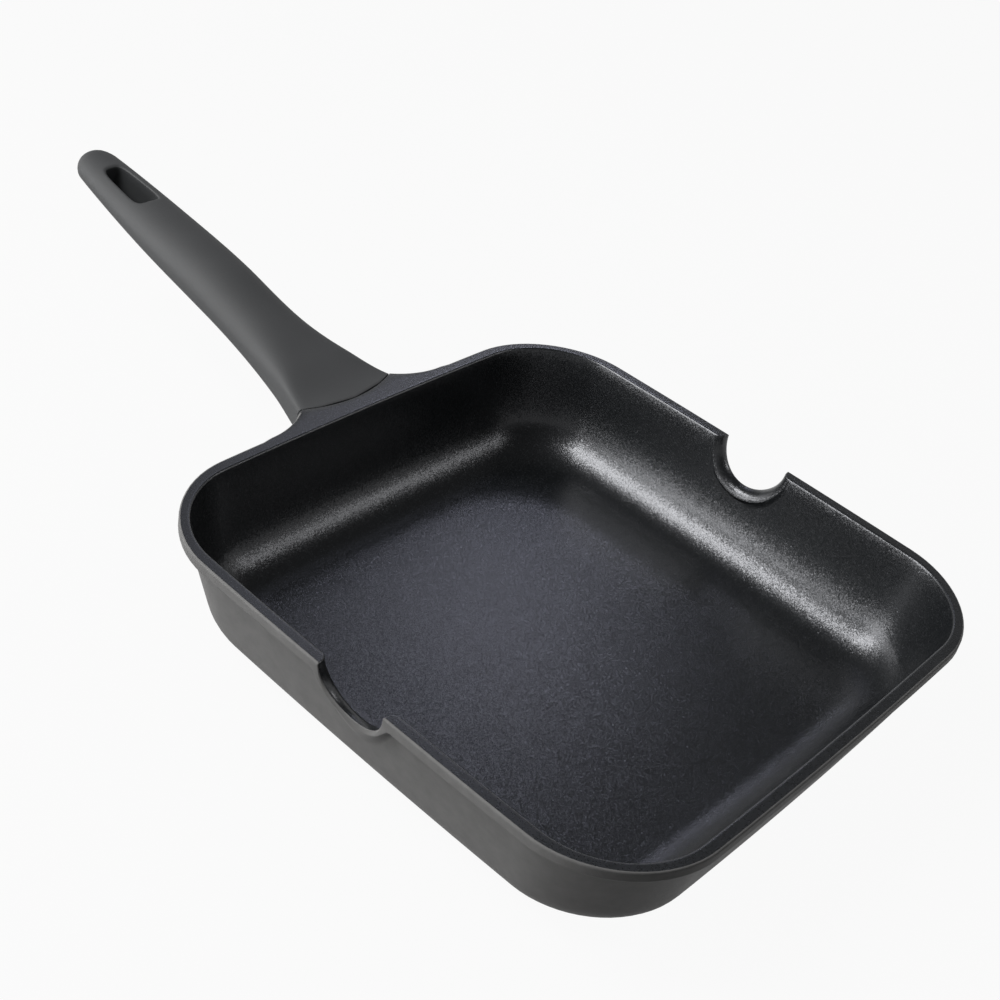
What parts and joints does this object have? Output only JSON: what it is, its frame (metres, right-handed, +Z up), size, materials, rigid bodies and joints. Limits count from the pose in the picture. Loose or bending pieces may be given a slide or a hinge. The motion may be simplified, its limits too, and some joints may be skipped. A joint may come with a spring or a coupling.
{
  "type": "griddle pan",
  "caption": "Square cast pan with rounded corners, a flanged rim, a pouring notch in each side wall, a smooth floor and a long moulded handle with a hanging slot.",
  "frame": {"origin": "middle of the flat underside that the pan stands on", "axes": "+Z up, out of the pan's mouth; +X away from the handle, so the handle points along -X; +Y across the pan, through the notch in the side wall"},
  "size_m": [0.4948, 0.2704, 0.0932],
  "materials": {
    "cast_body": "die-cast aluminium, sprayed dark grey outside, on the rim and on the boss, with a black speckled non-stick coating inside",
    "moulded_handle": "smooth dark grey moulding with a soft matte surface",
    "steel_plate": "turned stainless steel",
    "fastener_steel": "bright zinc-plated steel"
  },
  "bodies": {
    "root": {"pan_body": "cast_body", "handle": "moulded_handle", "induction_plate": "steel_plate", "handle_screw": "fastener_steel", "flat_washer": "fastener_steel", "spring_washer": "fastener_steel"}
  },
  "joints": []
}
